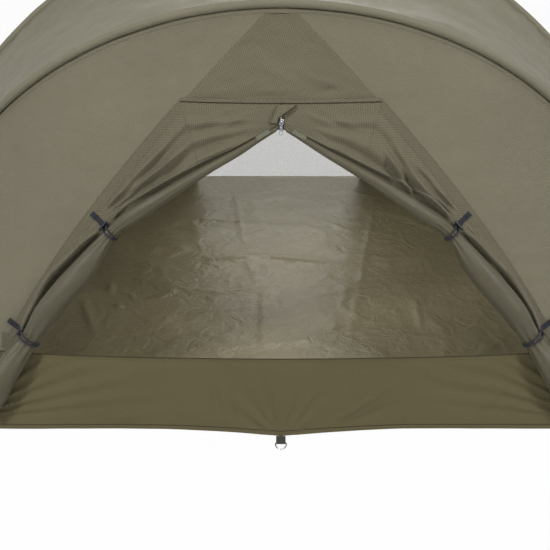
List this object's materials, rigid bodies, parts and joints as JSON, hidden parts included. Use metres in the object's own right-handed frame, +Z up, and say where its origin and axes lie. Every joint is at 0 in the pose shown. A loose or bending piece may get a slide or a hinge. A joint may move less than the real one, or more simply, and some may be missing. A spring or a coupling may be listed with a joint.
{
  "type": "fishing brolly shelter",
  "caption": "Hooped fishing shelter with a folding pole frame, rolled-back front door, rear mesh window and groundsheet.",
  "frame": {"origin": "on the ground, at the middle of the straight front hem", "axes": "+X to the right as seen from the door, +Y from the door to the rear, +Z up"},
  "size_m": [2.501, 2.0734, 1.2491],
  "materials": {
    "groundsheet": "satin",
    "nylon": "matte",
    "steel": "satin",
    "wall_cloth": "matte",
    "canopy_cloth": "matte",
    "band_cloth": "matte",
    "window_mesh": "matte",
    "rod": "satin",
    "zip_tape": "matte",
    "tab_webbing": "matte",
    "strap_webbing": "matte",
    "toggle_plastic": "satin",
    "elastic_cord": "matte"
  },
  "bodies": {
    "base": {"groundsheet": "groundsheet", "pivot_block_left": "nylon", "pivot_block_right": "nylon", "pivot_bolt_left": "steel", "pivot_bolt_right": "steel", "pivot_nut_left": "steel", "pivot_nut_right": "steel", "rear_wall": "wall_cloth", "rear_window_mesh": "window_mesh", "rear_window_flap": "wall_cloth", "rear_flap_tie_left": "band_cloth", "rear_flap_tie_right": "band_cloth"},
    "rear_frame": {"rear_hoop_rod_left": "rod", "rear_hoop_rod_right": "rod", "rear_hoop_socket_left": "nylon", "rear_hoop_socket_right": "nylon", "rear_hoop_ferrule": "steel", "rear_pole_sleeve": "canopy_cloth", "canopy_rear": "canopy_cloth"},
    "middle_frame": {"middle_hoop_rod_left": "rod", "middle_hoop_rod_right": "rod", "middle_hoop_socket_left": "nylon", "middle_hoop_socket_right": "nylon", "middle_hoop_ferrule": "steel", "middle_pole_sleeve": "canopy_cloth", "canopy_front": "canopy_cloth"},
    "front_frame": {"front_hoop_rod_left": "rod", "front_hoop_rod_right": "rod", "front_hoop_socket_left": "nylon", "front_hoop_socket_right": "nylon", "front_hoop_ferrule": "steel", "front_pole_sleeve": "canopy_cloth", "bottom_band": "band_cloth", "side_panel_left": "canopy_cloth", "side_panel_right": "canopy_cloth", "door_header": "wall_cloth", "door_half_left": "wall_cloth", "door_half_right": "wall_cloth", "door_zip": "zip_tape", "hem_tab": "tab_webbing", "upper_toggle_strap_left": "strap_webbing", "upper_toggle_strap_right": "strap_webbing", "upper_toggle_loop_left": "elastic_cord", "upper_toggle_loop_right": "elastic_cord", "lower_toggle_strap_left": "strap_webbing", "lower_toggle_strap_right": "strap_webbing", "lower_toggle_loop_left": "elastic_cord", "lower_toggle_loop_right": "elastic_cord"},
    "slider": {"zip_slider": "steel"},
    "pull": {"zip_pull": "steel"},
    "ring": {"hem_ring": "steel"},
    "upper_bar_left": {"upper_toggle_bar_left": "toggle_plastic"},
    "upper_bar_right": {"upper_toggle_bar_right": "toggle_plastic"},
    "lower_bar_left": {"lower_toggle_bar_left": "toggle_plastic"},
    "lower_bar_right": {"lower_toggle_bar_right": "toggle_plastic"}
  },
  "joints": [
    {"name": "rear_hoop_fold", "type": "hinge", "parent": "base", "child": "rear_frame", "pos_m": [0, 0.6, 0.055], "axis": [-1, 0, 0], "range_deg": [0, 36], "deforming": ["rear_wall", "rear_window_mesh", "rear_window_flap", "rear_flap_tie_left", "rear_flap_tie_right"]},
    {"name": "middle_hoop_fold", "type": "hinge", "parent": "rear_frame", "child": "middle_frame", "pos_m": [0, 0.6, 0.055], "axis": [-1, 0, 0], "range_deg": [0, 35], "deforming": ["canopy_rear"]},
    {"name": "front_hoop_fold", "type": "hinge", "parent": "middle_frame", "child": "front_frame", "pos_m": [0, 0.6, 0.055], "axis": [-1, 0, 0], "range_deg": [0, 28.5], "deforming": ["canopy_front", "bottom_band", "side_panel_left", "side_panel_right", "door_header", "door_half_left", "door_half_right", "door_zip"]},
    {"name": "zip_slide", "type": "slide", "parent": "front_frame", "child": "slider", "axis": [0, 0.2766, 0.961], "range_m": [0, 0.029]},
    {"name": "zip_pull_swing", "type": "hinge", "parent": "slider", "child": "pull", "pos_m": [0, 0.22493, 0.81181], "axis": [-1, 0, 0], "range_deg": [0, 150]},
    {"name": "hem_ring_swing", "type": "hinge", "parent": "front_frame", "child": "ring", "pos_m": [0, -0.06627, 0.0039], "axis": [-1, 0, 0], "range_deg": [0, 100]},
    {"name": "upper_toggle_turn_left", "type": "hinge", "parent": "front_frame", "child": "upper_bar_left", "pos_m": [-0.4779, 0.17604, 0.54216], "axis": [-0.1278, -0.939, 0.3192], "range_deg": [-80, 0], "deforming": ["upper_toggle_loop_left"]},
    {"name": "upper_toggle_turn_right", "type": "hinge", "parent": "front_frame", "child": "upper_bar_right", "pos_m": [0.4779, 0.17604, 0.54216], "axis": [0.1278, -0.939, 0.3192], "range_deg": [0, 80], "deforming": ["upper_toggle_loop_right"]},
    {"name": "lower_toggle_turn_left", "type": "hinge", "parent": "front_frame", "child": "lower_bar_left", "pos_m": [-0.71848, 0.10435, 0.25912], "axis": [-0.1293, -0.9098, 0.3944], "range_deg": [-80, 0], "deforming": ["lower_toggle_loop_left"]},
    {"name": "lower_toggle_turn_right", "type": "hinge", "parent": "front_frame", "child": "lower_bar_right", "pos_m": [0.71848, 0.10435, 0.25912], "axis": [0.1293, -0.9098, 0.3944], "range_deg": [0, 80], "deforming": ["lower_toggle_loop_right"]}
  ],
  "couplings": [
    {"joint": "middle_hoop_fold", "follows": "rear_hoop_fold", "ratio": 0.97222},
    {"joint": "front_hoop_fold", "follows": "rear_hoop_fold", "ratio": 0.79167}
  ]
}
